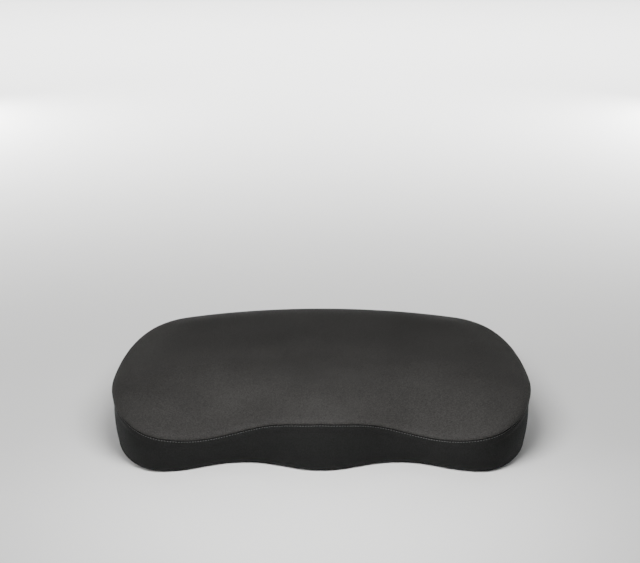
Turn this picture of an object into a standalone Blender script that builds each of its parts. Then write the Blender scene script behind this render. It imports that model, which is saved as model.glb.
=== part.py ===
"""Contoured office-chair seat cushion: two foam layers in a liner, inside a zipped fabric cover.

blender --background --python part.py builds it. Metres, +Z up, the sitter faces -Y, and the
origin is the centre of the flat underside.

The cover is a top panel, a band round the sides and a base panel. The rear of the band is a
straight-standing strip on a true arc, split by a zip. Every piece is cut from the same two
shapes: the plan outline of the top seam, and the height of the seat over any point of the plan.
"""

import math

import bmesh
import bpy
import numpy as np
from mathutils import Matrix, Vector
from mathutils.geometry import interpolate_bezier

# Overall size
WIDTH = 0.458
DEPTH = 0.380
SEAT_HEIGHT = 0.075

# Plan outline: a pommel between two leg channels, a lobe under each thigh, and an arc behind
POMMEL_SETBACK = 0.003
CHANNEL_X = 0.082
CHANNEL_SETBACK = 0.026
LOBE_FROM_SIDE = 0.061
WIDEST_Y = -0.078
REAR_ARC_RADIUS = 0.385
REAR_ARC_HALF_WIDTH = 0.165
POMMEL_HANDLE = 0.034
CHANNEL_HANDLE = 0.032
LOBE_INNER_HANDLE = 0.036
LOBE_OUTER_HANDLE = 0.038
SIDE_FRONT_HANDLE = 0.058
SIDE_REAR_HANDLE = 0.130
CORNER_HANDLE = 0.046
COLUMNS_PER_SPAN = (5, 6, 8, 8, 9)  # of one half, front centre to rear centre

# Seat form: how far the surface falls below the plateau
EDGE_DROP = 0.012
EDGE_REACH = 0.085
EDGE_POWER = 3
POMMEL_ROLL = 0.007
LOBE_ROLL = 0.019
ROLL_REACH = 0.120
ROLL_STARTS_X = 0.050
ROLL_FULL_X = 0.170
CHANNEL_DEPTH = 0.0205
CHANNEL_DEEPEST_X = 0.098
CHANNEL_HALF_WIDTH = 0.054
CHANNEL_REACH = 0.160
RING_SHARES = (0.95, 0.86, 0.72, 0.5, 0.25)  # of the way from the centre to the outline

# Band
BOTTOM_ROUNDING = 0.009
BAND_LEAN = 0.003
BAND_BULGE = 0.0015
BAND_LIP = 0.002  # the flat edge under the cushion that the base panel is sewn to
BAND_WALL_ROWS = 4
ROUNDING_ROWS = 3

# Thicknesses and clearances
FABRIC = 0.0016
TOP_FABRIC = 0.0020
LINER = 0.0008
MEMORY_FOAM = 0.018
SEAM_GAP = 0.0003
END_SEAM_GAP = 0.0007
LAYER_GAP = 0.0004

# Zip, on the rear arc
ZIP_HEIGHT = 0.028
ZIP_SLOT = 0.0106
TAPE_THICKNESS = 0.0005
TAPE_WIDTH = 0.0125
TAPE_END_GAP = 0.004
COIL_THICKNESS = 0.0013
COIL_WIDTH = 0.0020
COIL_GAP = 0.0012
COIL_END_GAP = 0.009
ZIP_COLUMNS = 18
STOP_LENGTH = 0.003
STOP_OVERHANG = 0.0008
SLIDER_LENGTH = 0.013
SLIDER_WIDTH = 0.0094
SLIDER_PLATE = 0.0011
SLIDER_CLEARANCE = 0.0003
SLIDER_POST = 0.0005
SLIDER_POST_LENGTH = 0.0030
SLIDER_FLANGE = 0.0013
BRIDGE_HALF_LENGTH = 0.0031
BRIDGE_RADIUS = 0.0007
PULL_WIRE_RADIUS = 0.0006
PULL_EYE_WIDTH = 0.0044
PULL_EYE_LENGTH = 0.0055
PULL_LENGTH = 0.025
PULL_WIDTH = 0.0070
PULL_THICKNESS = 0.0010
PULL_CLEARANCE = 0.0004
BRIDGE_SQUARENESS = 0.6
ROUND_STEPS = 8
SHARP_ANGLE = math.radians(40)

# Care label, sewn inside between the bottom rounding and the slider's path
LABEL_WIDTH = 0.034
LABEL_THICKNESS = 0.0004
LABEL_ANGLE = math.radians(-6)

# Room left behind the zip for the slider's inner plate, worked out from the stack of pieces there
TAPE_INSET = FABRIC + SEAM_GAP
INNER_PLATE_INSET = TAPE_INSET + TAPE_THICKNESS + SLIDER_CLEARANCE
LINER_INSET = FABRIC + LAYER_GAP
CORE_INSET = LINER_INSET + LINER + LAYER_GAP
ZIP_RELIEF = INNER_PLATE_INSET + SLIDER_PLATE + LAYER_GAP - LINER_INSET

REAR_Y = DEPTH / 2
ARC_CENTRE_Y = REAR_Y - REAR_ARC_RADIUS
ARC_HALF_ANGLE = math.asin(REAR_ARC_HALF_WIDTH / REAR_ARC_RADIUS)
COIL_HALF_ANGLE = ARC_HALF_ANGLE - COIL_END_GAP / REAR_ARC_RADIUS
SLIDER_REST_ANGLE = COIL_HALF_ANGLE - (SLIDER_LENGTH / 2 + SLIDER_CLEARANCE) / REAR_ARC_RADIUS


# ---------------------------------------------------------------- plan outline and seat form


def on_rear_arc(angle, inset=0.0):
    """A plan point on the rear arc, at an angle from the centre line towards +X."""
    radius = REAR_ARC_RADIUS - inset
    return Vector((radius * math.sin(angle), ARC_CENTRE_Y + radius * math.cos(angle), 0.0))


def half_outline():
    """The outline's right half from the front centre to the rear centre, and where each span ends."""
    front_y = -DEPTH / 2
    pommel = Vector((0.0, front_y + POMMEL_SETBACK, 0.0))
    channel = Vector((CHANNEL_X, front_y + CHANNEL_SETBACK, 0.0))
    lobe = Vector((WIDTH / 2 - LOBE_FROM_SIDE, front_y, 0.0))
    side = Vector((WIDTH / 2, WIDEST_Y, 0.0))
    corner = on_rear_arc(ARC_HALF_ANGLE)
    along_arc = Vector((math.cos(ARC_HALF_ANGLE), -math.sin(ARC_HALF_ANGLE), 0.0))
    across = Vector((1.0, 0.0, 0.0))
    back = Vector((0.0, 1.0, 0.0))
    spans = (
        (pommel, pommel + across * POMMEL_HANDLE, channel - across * CHANNEL_HANDLE, channel),
        (channel, channel + across * CHANNEL_HANDLE, lobe - across * LOBE_INNER_HANDLE, lobe),
        (lobe, lobe + across * LOBE_OUTER_HANDLE, side - back * SIDE_FRONT_HANDLE, side),
        (side, side + back * SIDE_REAR_HANDLE, corner + along_arc * CORNER_HANDLE, corner),
    )
    points = []
    for span, count in zip(spans, COLUMNS_PER_SPAN):
        points += [point.copy() for point in interpolate_bezier(*span, count + 1)[:-1]]
    for step in range(COLUMNS_PER_SPAN[-1] + 1):
        points.append(on_rear_arc(ARC_HALF_ANGLE * (1 - step / COLUMNS_PER_SPAN[-1])))
    return points


def closed_outline():
    """The whole outline, anticlockwise from the front centre, with no point twice."""
    right = half_outline()
    left = [Vector((-point.x, point.y, 0.0)) for point in reversed(right[1:-1])]
    return np.array([point[:2] for point in right + left])


def inward_normals(points):
    ahead = np.roll(points, -1, axis=0) - np.roll(points, 1, axis=0)
    normals = np.stack([-ahead[:, 1], ahead[:, 0]], axis=1)
    normals /= np.linalg.norm(normals, axis=1)[:, None]
    behind_arc = np.array([0.0, ARC_CENTRE_Y]) - points
    on_arc = (np.abs(points[:, 0]) <= REAR_ARC_HALF_WIDTH + 1e-6) & (points[:, 1] > 0)
    normals[on_arc] = behind_arc[on_arc] / np.linalg.norm(behind_arc[on_arc], axis=1)[:, None]
    return normals


OUTLINE = closed_outline()
INWARD = inward_normals(OUTLINE)
COLUMNS = len(OUTLINE)
ARC_FIRST = sum(COLUMNS_PER_SPAN[:-1])
ARC_LAST = ARC_FIRST + 2 * COLUMNS_PER_SPAN[-1]


def ease(value):
    """0 to 1 with no corner at either end."""
    value = min(max(value, 0.0), 1.0)
    return value * value * (3 - 2 * value)


def away_from_zip(column):
    """0 on the rear arc, where the band stands straight for the zip, and 1 well away from it."""
    past = max(ARC_FIRST - column, column - ARC_LAST, 0)
    return ease(past / COLUMNS_PER_SPAN[-2])


def edge_distance(x, y):
    """How far a plan point lies from the outline's nearest edge."""
    point = np.array([x, y])
    starts = OUTLINE
    runs = np.roll(OUTLINE, -1, axis=0) - starts
    share = ((point - starts) * runs).sum(axis=1) / (runs * runs).sum(axis=1)
    nearest = starts + runs * np.clip(share, 0, 1)[:, None]
    return float(np.linalg.norm(nearest - point, axis=1).min())


def seat_height(x, y):
    """Height of the cover's outer face over a plan point."""
    front_y = -DEPTH / 2
    edge = max(1 - edge_distance(x, y) / EDGE_REACH, 0.0)
    roll = max(1 - (y - front_y) / ROLL_REACH, 0.0)
    outward = ease((abs(x) - ROLL_STARTS_X) / (ROLL_FULL_X - ROLL_STARTS_X))
    roll_drop = POMMEL_ROLL + (LOBE_ROLL - POMMEL_ROLL) * outward
    channel = ease(1 - (y - front_y) / CHANNEL_REACH)
    channel *= math.exp(-(((abs(x) - CHANNEL_DEEPEST_X) / CHANNEL_HALF_WIDTH) ** 2))
    return SEAT_HEIGHT - EDGE_DROP * edge**EDGE_POWER - roll_drop * roll**2 - CHANNEL_DEPTH * channel


SEAM_HEIGHTS = [seat_height(x, y) for x, y in OUTLINE]


def band_point(column, height, inset=0.0, relief=0.0):
    """A point of the band's standing wall, moved inwards by an inset."""
    slack = away_from_zip(column)
    share = (height - BOTTOM_ROUNDING) / (SEAM_HEIGHTS[column] - BOTTOM_ROUNDING)
    share = min(max(share, 0.0), 1.0)
    lean = BAND_LEAN * (1 - share) - BAND_BULGE * math.sin(math.pi * share)
    move = slack * lean + inset + relief * (1 - slack)
    x, y = OUTLINE[column] + INWARD[column] * move
    return Vector((x, y, height))


def rounding_point(column, turn, inset=0.0, relief=0.0):
    """A point of the rounded bottom edge: turn runs from 0, flat underneath, to 1, at the wall."""
    slack = away_from_zip(column)
    angle = turn * math.pi / 2
    radius = BOTTOM_ROUNDING - inset
    move = slack * BAND_LEAN + BOTTOM_ROUNDING - radius * math.sin(angle) + relief * (1 - slack)
    x, y = OUTLINE[column] + INWARD[column] * move
    return Vector((x, y, BOTTOM_ROUNDING - radius * math.cos(angle)))


def underside_point(column, past_rounding):
    """A point of the flat underside, inwards of where the rounded edge starts."""
    move = away_from_zip(column) * BAND_LEAN + BOTTOM_ROUNDING + past_rounding
    x, y = OUTLINE[column] + INWARD[column] * move
    return Vector((x, y, 0.0))


# ---------------------------------------------------------------- scene and shape helpers


def clear_scene():
    for obj in list(bpy.data.objects):
        bpy.data.objects.remove(obj, do_unlink=True)


def new_collection(name, hidden=False):
    collection = bpy.data.collections.new(name)
    bpy.context.scene.collection.children.link(collection)
    collection.hide_render = hidden
    return collection


clear_scene()
PARTS = new_collection("seat_cushion")
CUTTERS = new_collection("helpers", hidden=True)


def material(name, colour, roughness, metallic=0.0):
    made = bpy.data.materials.new(name)
    made.use_nodes = True
    shader = made.node_tree.nodes["Principled BSDF"]
    shader.inputs["Base Color"].default_value = (*colour, 1.0)
    shader.inputs["Roughness"].default_value = roughness
    shader.inputs["Metallic"].default_value = metallic
    return made


def add_object(name, mesh, surface):
    """A named part with its material, shaded smooth away from its sharp edges."""
    mesh.materials.clear()
    mesh.materials.append(surface)
    mesh.shade_smooth()
    mesh.set_sharp_from_angle(angle=SHARP_ANGLE)
    obj = bpy.data.objects.new(name, mesh)
    PARTS.objects.link(obj)
    return obj


def grid_mesh(name, rows, around=False):
    """A surface through rows of points. around joins the last column to the first."""
    columns = len(rows[0]) + (1 if around else 0)
    bm = bmesh.new()
    bmesh.ops.create_grid(bm, x_segments=columns - 1, y_segments=len(rows) - 1, size=1.0)
    for vertex in bm.verts:
        column = round((vertex.co.x + 1) / 2 * (columns - 1)) % len(rows[0])
        row = round((vertex.co.y + 1) / 2 * (len(rows) - 1))
        vertex.co = rows[row][column]
    bmesh.ops.remove_doubles(bm, verts=bm.verts, dist=1e-6)
    # Neighbouring layers split their bent quads along the same diagonals, so they nest.
    bmesh.ops.triangulate(bm, faces=bm.faces, quad_method="SHORT_EDGE")
    mesh = bpy.data.meshes.new(name)
    bm.to_mesh(mesh)
    bm.free()
    return mesh


def solidify(obj, thickness):
    """Gives an open surface its thickness, on the side away from its normals."""
    wall = obj.modifiers.new("thickness", "SOLIDIFY")
    wall.thickness = thickness
    wall.offset = -1.0
    wall.use_even_offset = True


def ring(share, height_under):
    """The outline shrunk to a share of its size, on the seat surface less a depth."""
    return [Vector((x, y, seat_height(x, y) - height_under)) for x, y in OUTLINE * share]


def rim(under, inset, relief):
    """A layer's outermost ring, inset from the outline, on the seat surface less a depth."""
    points = []
    for column in range(COLUMNS):
        edge = band_point(column, SEAM_HEIGHTS[column] - under, inset, relief)
        edge.z = seat_height(edge.x, edge.y) - under
        points.append(edge)
    return points


def centre_row(under):
    return [Vector((0.0, 0.0, seat_height(0.0, 0.0) - under))] * COLUMNS


def add_layer(name, surface, top, bottom, inset, relief=0.0):
    """A layer that follows the seat, from depth top to depth bottom under its outer face."""
    rows = [centre_row(bottom)]
    rows += [ring(share, bottom) for share in reversed(RING_SHARES)]
    rows += [rim(bottom, inset, relief), rim(top, inset, relief)]
    rows += [ring(share, top) for share in RING_SHARES]
    rows += [centre_row(top)]
    return add_object(name, grid_mesh(name, rows, around=True), surface)


def add_arc_sheet(name, surface, half_angle, inset, low, high, thickness, centre=0.0):
    """A strip that stands on the rear arc, curved in plan and straight in height."""
    angles = [centre + half_angle * (1 - 2 * i / ZIP_COLUMNS) for i in range(ZIP_COLUMNS + 1)]
    rows = []
    for height in (low, high):
        rows.append([on_rear_arc(angle, inset) + Vector((0, 0, height)) for angle in angles])
    strip = add_object(name, grid_mesh(name, rows), surface)
    solidify(strip, thickness)
    return strip


# ---------------------------------------------------------------- materials

KNIT = material("black_knit", (0.035, 0.034, 0.033), 0.6)
BAND_FABRIC = material("black_band_fabric", (0.022, 0.022, 0.022), 0.75)
BASE_FABRIC = material("grip_base_fabric", (0.018, 0.019, 0.021), 0.85)
LINER_FABRIC = material("liner_knit", (0.75, 0.74, 0.70), 0.9)
MEMORY = material("memory_foam", (0.80, 0.74, 0.56), 0.95)
SUPPORT = material("support_foam", (0.36, 0.38, 0.42), 0.95)
TAPE = material("zip_tape", (0.020, 0.020, 0.021), 0.9)
NYLON = material("zip_nylon", (0.025, 0.025, 0.026), 0.4)
METAL = material("zip_metal", (0.05, 0.05, 0.052), 0.35, 0.9)
SATIN = material("label_satin", (0.85, 0.85, 0.83), 0.5)


# ---------------------------------------------------------------- cover


def build_top_panel():
    return add_layer("top_panel", KNIT, 0.0, TOP_FABRIC, 0.0)


def band_rows(columns, low, high):
    """Rows of a band piece. low is a height, or None to start under the rounded edge."""
    rows = []
    if low is None:
        rows.append([underside_point(column, BAND_LIP) for column in columns])
        for step in range(ROUNDING_ROWS):
            turn = step / ROUNDING_ROWS
            rows.append([rounding_point(column, turn) for column in columns])
    for step in range(BAND_WALL_ROWS + 1):
        share = step / BAND_WALL_ROWS
        row = []
        for column in columns:
            start = BOTTOM_ROUNDING if low is None else low
            end = SEAM_HEIGHTS[column] - TOP_FABRIC - SEAM_GAP if high is None else high
            row.append(band_point(column, start + (end - start) * share))
        rows.append(row)
    return rows


def add_band(name, surface, columns, low, high):
    band = add_object(name, grid_mesh(name, band_rows(columns, low, high)), surface)
    solidify(band, FABRIC)
    return band


def leave_seam_gap(band):
    """Draws a zip panel's two ends in from the vertical seams it shares with the front band."""
    pull_in = 1 - END_SEAM_GAP / REAR_ARC_HALF_WIDTH
    for vertex in band.data.vertices:
        offset = Vector((vertex.co.x, vertex.co.y - ARC_CENTRE_Y))
        angle = math.atan2(offset.x, offset.y) * pull_in
        vertex.co.x = offset.length * math.sin(angle)
        vertex.co.y = ARC_CENTRE_Y + offset.length * math.cos(angle)


def build_bands():
    round_the_front = [column % COLUMNS for column in range(ARC_LAST, ARC_FIRST + COLUMNS + 1)]
    rear = list(range(ARC_FIRST, ARC_LAST + 1))
    add_band("front_band", BAND_FABRIC, round_the_front, None, None)
    half_slot = ZIP_SLOT / 2
    leave_seam_gap(add_band("rear_band_upper", BAND_FABRIC, rear, ZIP_HEIGHT + half_slot, None))
    leave_seam_gap(add_band("rear_band_lower", BAND_FABRIC, rear, None, ZIP_HEIGHT - half_slot))


def build_base_panel():
    edge = [underside_point(column, BAND_LIP + SEAM_GAP) for column in range(COLUMNS)]
    middle = [Vector((0.0, 0.0, 0.0))] * COLUMNS
    panel = add_object("base_panel", grid_mesh("base_panel", [middle, edge], True), BASE_FABRIC)
    solidify(panel, FABRIC)


# ---------------------------------------------------------------- core


def build_liner_upper():
    top = TOP_FABRIC + LAYER_GAP
    add_layer("liner_upper", LINER_FABRIC, top, top + LINER, LINER_INSET, ZIP_RELIEF)


def core_top():
    return TOP_FABRIC + LAYER_GAP + LINER + LAYER_GAP


def build_memory_foam():
    top = core_top()
    add_layer("memory_foam_layer", MEMORY, top, top + MEMORY_FOAM, CORE_INSET, ZIP_RELIEF)


def tub_rows(inset):
    """Rows from the centre of the floor out to the wall's foot, at an inset inside the cover."""
    rows = [[Vector((0.0, 0.0, inset))] * COLUMNS]
    for step in range(ROUNDING_ROWS + 1):
        turn = step / ROUNDING_ROWS
        rows.append([rounding_point(c, turn, inset, ZIP_RELIEF) for c in range(COLUMNS)])
    return rows


def build_support_foam():
    under = core_top() + MEMORY_FOAM + LAYER_GAP
    rows = tub_rows(CORE_INSET)
    rows.append(rim(under, CORE_INSET, ZIP_RELIEF))
    rows += [ring(share, under) for share in RING_SHARES]
    rows.append(centre_row(under))
    add_object("support_foam_core", grid_mesh("support_foam_core", rows, around=True), SUPPORT)


def build_liner_lower():
    """The lower half of the liner: a tub under and round the foam, up to the upper half's edge."""
    rows = tub_rows(LINER_INSET)
    for step in range(1, BAND_WALL_ROWS + 1):
        row = []
        for column in range(COLUMNS):
            stop = SEAM_HEIGHTS[column] - core_top() - LAYER_GAP
            height = BOTTOM_ROUNDING + (stop - BOTTOM_ROUNDING) * step / BAND_WALL_ROWS
            row.append(band_point(column, height, LINER_INSET, ZIP_RELIEF))
        rows.append(row)
    tub = add_object("liner_lower", grid_mesh("liner_lower", rows, around=True), LINER_FABRIC)
    solidify(tub, LINER)


# ---------------------------------------------------------------- zip


def build_tapes_and_coils():
    tape_angle = ARC_HALF_ANGLE - TAPE_END_GAP / REAR_ARC_RADIUS
    half_gap = COIL_GAP / 2
    coil_inset = TAPE_INSET - SEAM_GAP - COIL_THICKNESS
    for name, side in (("upper", 1), ("lower", -1)):
        ends = sorted((ZIP_HEIGHT + side * half_gap, ZIP_HEIGHT + side * TAPE_WIDTH))
        add_arc_sheet(f"zip_tape_{name}", TAPE, tape_angle, TAPE_INSET, *ends, TAPE_THICKNESS)
        ends = sorted((ZIP_HEIGHT + side * half_gap, ZIP_HEIGHT + side * (half_gap + COIL_WIDTH)))
        add_arc_sheet(f"zip_coil_{name}", NYLON, COIL_HALF_ANGLE, coil_inset, *ends, COIL_THICKNESS)


def build_stops():
    """One clamp at each end of the coils, across both of them."""
    half_height = COIL_GAP / 2 + COIL_WIDTH + STOP_OVERHANG
    half_angle = STOP_LENGTH / 2 / REAR_ARC_RADIUS
    away = COIL_HALF_ANGLE + SEAM_GAP / REAR_ARC_RADIUS + half_angle
    inset = TAPE_INSET - SEAM_GAP - COIL_THICKNESS
    for name, angle in (("closed_end", away), ("open_end", -away)):
        low = ZIP_HEIGHT - half_height
        high = ZIP_HEIGHT + half_height
        add_arc_sheet(f"zip_stop_{name}", METAL, half_angle, inset, low, high, COIL_THICKNESS, angle)


def box(name, low, high):
    """A mesh box between two corners, kept as a helper for Booleans."""
    bm = bmesh.new()
    bmesh.ops.create_cube(bm, size=1.0)
    for vertex in bm.verts:
        for axis in range(3):
            vertex.co[axis] = high[axis] if vertex.co[axis] > 0 else low[axis]
    mesh = bpy.data.meshes.new(name)
    bm.to_mesh(mesh)
    bm.free()
    return mesh


def mesh_of_curve(curve, points, closed):
    """The closed mesh of a curve through points, its caps welded to its sides."""
    spline = curve.splines.new("POLY")
    spline.points.add(len(points) - 1)
    spline.use_cyclic_u = closed
    for spot, point in zip(spline.points, points):
        spot.co = (*point, 1.0)
    guide = bpy.data.objects.new(curve.name, curve)
    CUTTERS.objects.link(guide)
    evaluated = guide.evaluated_get(bpy.context.evaluated_depsgraph_get())
    mesh = bpy.data.meshes.new_from_object(evaluated)
    bpy.data.objects.remove(guide, do_unlink=True)
    bm = bmesh.new()
    bm.from_mesh(mesh)
    bmesh.ops.remove_doubles(bm, verts=bm.verts, dist=1e-6)
    bmesh.ops.recalc_face_normals(bm, faces=bm.faces)
    bm.to_mesh(mesh)
    bm.free()
    return mesh


def wire_mesh(name, points, radius, closed=False):
    """A round wire through points."""
    curve = bpy.data.curves.new(name, "CURVE")
    curve.dimensions = "3D"
    curve.bevel_depth = radius
    curve.bevel_resolution = 2
    curve.use_fill_caps = True
    return mesh_of_curve(curve, points, closed)


def plate_mesh(name, outline, thickness):
    """A flat plate in the XZ plane, from its outline's (x, z) points."""
    curve = bpy.data.curves.new(name, "CURVE")
    curve.dimensions = "2D"
    curve.fill_mode = "BOTH"
    curve.extrude = thickness / 2
    mesh = mesh_of_curve(curve, [(x, z, 0.0) for x, z in outline], closed=True)
    mesh.transform(Matrix.Rotation(math.pi / 2, 4, "X"))
    return mesh


def join(obj, meshes):
    """Unites helper meshes with an object, one Boolean each."""
    for mesh in meshes:
        helper = bpy.data.objects.new(mesh.name, mesh)
        helper.parent = obj.parent
        helper.location = obj.location
        helper.hide_render = True
        helper.display_type = "WIRE"
        CUTTERS.objects.link(helper)
        union = obj.modifiers.new(mesh.name, "BOOLEAN")
        union.operation = "UNION"
        union.solver = "EXACT"
        union.object = helper


def bridge_points():
    """Half an ellipse over the outer plate, its feet sunk in the plate."""
    rise = 2 * (PULL_WIRE_RADIUS + PULL_CLEARANCE) + BRIDGE_RADIUS
    start = SLIDER_PLATE / 2
    points = [(-BRIDGE_HALF_LENGTH, start, 0.0)]
    for step in range(ROUND_STEPS + 1):
        angle = math.pi * step / ROUND_STEPS
        height = SLIDER_PLATE + rise * math.sin(angle) ** BRIDGE_SQUARENESS
        points.append((-BRIDGE_HALF_LENGTH * math.cos(angle), height, 0.0))
    points.append((BRIDGE_HALF_LENGTH, start, 0.0))
    return points


def zip_carrier():
    """An empty on the arc's axis, turned to where the slider rests. Its +Y points out of the zip."""
    carrier = bpy.data.objects.new("zip_arc_axis", None)
    carrier.location = (0.0, ARC_CENTRE_Y, ZIP_HEIGHT)
    carrier.rotation_euler = (0.0, 0.0, -SLIDER_REST_ANGLE)
    PARTS.objects.link(carrier)
    return carrier


def build_slider(carrier):
    """Two plates on a post between the coils, flanges round the coils, and a bridge for the pull."""
    half = SLIDER_LENGTH / 2
    side = SLIDER_WIDTH / 2
    plate_top = SLIDER_PLATE
    inner_top = -INNER_PLATE_INSET
    inner_low = inner_top - SLIDER_PLATE
    flange_low = -(TAPE_INSET - SLIDER_CLEARANCE)
    post = SLIDER_POST / 2
    post_start = half - SLIDER_POST_LENGTH
    overlap = SLIDER_PLATE / 2
    flange_in = side - SLIDER_FLANGE
    slider_mesh = box("zip_slider", (-half, 0.0, -side), (half, plate_top, side))
    meshes = [
        box("inner_plate", (-half, inner_low, -side), (half, inner_top, side)),
        box("post", (post_start, inner_low + overlap, -post), (half - post, overlap, post)),
        box("flange_upper", (-half, flange_low, flange_in), (half, overlap, side)),
        box("flange_lower", (-half, flange_low, -side), (half, overlap, -flange_in)),
        wire_mesh("bridge", bridge_points(), BRIDGE_RADIUS),
    ]
    out_to_the_band = Matrix.Translation((0.0, REAR_ARC_RADIUS, 0.0))
    for mesh in (slider_mesh, *meshes):
        mesh.transform(out_to_the_band)
    slider = add_object("zip_slider", slider_mesh, METAL)
    slider.parent = carrier
    join(slider, meshes)


def eye_points():
    """A wire rectangle with clipped corners, one short side on the hinge's axis."""
    half = PULL_EYE_WIDTH / 2
    corners = [(0, 0, half), (-PULL_EYE_LENGTH, 0, half)]
    corners += [(-PULL_EYE_LENGTH, 0, -half), (0, 0, -half)]
    points = []
    for here, after in zip(corners, corners[1:] + corners[:1]):
        clip = (Vector(after) - Vector(here)).normalized() * PULL_WIRE_RADIUS
        points += [Vector(here) + clip, Vector(after) - clip]
    return points


def tab_outline():
    """The tab from the side it shows: narrow at the eye, wider and round at its far end."""
    start = -PULL_EYE_LENGTH + PULL_WIRE_RADIUS / 2
    half = PULL_WIDTH / 2
    neck = PULL_EYE_WIDTH / 2
    far = start - PULL_LENGTH + half
    points = [(start, neck), (start, -neck), (start - half, -half)]
    for step in range(ROUND_STEPS + 1):
        angle = -math.pi / 2 - math.pi * step / ROUND_STEPS
        points.append((far + half * math.cos(angle), half * math.sin(angle)))
    points.append((start - half, half))
    return points


def build_pull(carrier):
    """A wire eye through the bridge, welded to a flat tab that lies along the zip."""
    eye = wire_mesh("zip_pull", eye_points(), PULL_WIRE_RADIUS, closed=True)
    pull = add_object("zip_pull", eye, METAL)
    pull.parent = carrier
    out = SLIDER_PLATE + PULL_CLEARANCE + PULL_WIRE_RADIUS
    pull.location = (0.0, REAR_ARC_RADIUS + out, 0.0)
    join(pull, [plate_mesh("tab", tab_outline(), PULL_THICKNESS)])


def build_label():
    """A blank satin tag behind the lower tape."""
    inset = TAPE_INSET + TAPE_THICKNESS + SEAM_GAP
    low = BOTTOM_ROUNDING + SEAM_GAP
    high = ZIP_HEIGHT - SLIDER_WIDTH / 2 - SLIDER_CLEARANCE
    half_angle = LABEL_WIDTH / 2 / REAR_ARC_RADIUS
    add_arc_sheet("care_label", SATIN, half_angle, inset, low, high, LABEL_THICKNESS, LABEL_ANGLE)


def main():
    build_top_panel()
    build_bands()
    build_base_panel()
    build_liner_upper()
    build_memory_foam()
    build_support_foam()
    build_liner_lower()
    build_tapes_and_coils()
    build_stops()
    carrier = zip_carrier()
    build_slider(carrier)
    build_pull(carrier)
    build_label()


main()
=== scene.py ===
"""Contoured seat cushion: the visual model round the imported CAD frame, in metres.

+Z is up, the front with the pommel faces -Y, and the underside rests on z = 0. Every surface comes
from one plan outline and one seat height, as in the CAD, cut finer: the cover's profile runs from
the base seam, up the band, into the top seam's crease, over the edge roll and on to the centre.
"""

import math

import bmesh
import bpy
import numpy as np
from mathutils import Matrix, Vector
from mathutils.geometry import interpolate_bezier
from mathutils.kdtree import KDTree


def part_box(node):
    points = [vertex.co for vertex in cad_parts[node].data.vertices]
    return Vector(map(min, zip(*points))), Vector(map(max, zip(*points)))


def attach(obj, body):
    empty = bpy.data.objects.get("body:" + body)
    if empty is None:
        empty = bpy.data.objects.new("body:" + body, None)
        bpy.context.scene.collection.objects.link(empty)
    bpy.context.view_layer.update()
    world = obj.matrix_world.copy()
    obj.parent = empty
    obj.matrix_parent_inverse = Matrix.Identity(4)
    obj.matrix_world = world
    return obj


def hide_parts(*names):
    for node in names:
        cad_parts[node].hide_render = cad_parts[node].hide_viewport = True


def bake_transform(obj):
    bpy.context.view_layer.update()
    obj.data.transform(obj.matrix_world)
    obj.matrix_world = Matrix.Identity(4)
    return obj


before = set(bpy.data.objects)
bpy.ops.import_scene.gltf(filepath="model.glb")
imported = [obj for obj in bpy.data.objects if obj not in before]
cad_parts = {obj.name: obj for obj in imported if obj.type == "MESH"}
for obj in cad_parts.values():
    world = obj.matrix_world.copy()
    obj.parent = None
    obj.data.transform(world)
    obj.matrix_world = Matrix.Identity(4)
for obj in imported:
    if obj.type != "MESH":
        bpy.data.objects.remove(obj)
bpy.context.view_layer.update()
MM = 0.001

# ---- sizes shared with the CAD

WIDTH = 0.458
DEPTH = 0.380
SEAT_HEIGHT = 0.075

POMMEL_SETBACK = 0.003
CHANNEL_X = 0.082
CHANNEL_SETBACK = 0.026
LOBE_FROM_SIDE = 0.061
WIDEST_Y = -0.078
REAR_ARC_RADIUS = 0.385
REAR_ARC_HALF_WIDTH = 0.165
POMMEL_HANDLE = 0.034
CHANNEL_HANDLE = 0.032
LOBE_INNER_HANDLE = 0.036
LOBE_OUTER_HANDLE = 0.038
SIDE_FRONT_HANDLE = 0.058
SIDE_REAR_HANDLE = 0.130
CORNER_HANDLE = 0.046

EDGE_DROP = 0.012
EDGE_REACH = 0.085
EDGE_POWER = 3
POMMEL_ROLL = 0.007
LOBE_ROLL = 0.019
ROLL_REACH = 0.120
ROLL_STARTS_X = 0.050
ROLL_FULL_X = 0.170
CHANNEL_DEPTH = 0.0205
CHANNEL_DEEPEST_X = 0.098
CHANNEL_HALF_WIDTH = 0.054
CHANNEL_REACH = 0.160

BOTTOM_ROUNDING = 0.009
BAND_LEAN = 0.003
BAND_BULGE = 0.0015
SLACK_REACH = 0.060  # along the outline, past the rear arc, over which the band may lean

ZIP_HEIGHT = 0.028
ZIP_SLOT = 0.0106
TAPE_INSET = 0.0019
TAPE_THICKNESS = 0.0005
TAPE_WIDTH = 0.0125
COIL_INSET = 0.0003
COIL_THICKNESS = 0.0013
COIL_WIDTH = 0.0020
COIL_GAP = 0.0012
SLIDER_LENGTH = 0.013
SLIDER_WIDTH = 0.0094
SLIDER_PLATE = 0.0011
INNER_PLATE_INSET = 0.0027
PULL_WIRE_RADIUS = 0.0006
PULL_EYE_WIDTH = 0.0044
PULL_EYE_LENGTH = 0.0055
PULL_LENGTH = 0.025
PULL_WIDTH = 0.0070
PULL_THICKNESS = 0.0010
PULL_CLEARANCE = 0.0004

ARC_CENTRE_Y = DEPTH / 2 - REAR_ARC_RADIUS
ARC_HALF_ANGLE = math.asin(REAR_ARC_HALF_WIDTH / REAR_ARC_RADIUS)
TAPE_HALF_ANGLE = ARC_HALF_ANGLE - 0.004 / REAR_ARC_RADIUS
COIL_HALF_ANGLE = ARC_HALF_ANGLE - 0.009 / REAR_ARC_RADIUS
SLIDER_ANGLE = COIL_HALF_ANGLE - (SLIDER_LENGTH / 2 + 0.0003) / REAR_ARC_RADIUS

# ---- sizes of the cover's detail

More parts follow.
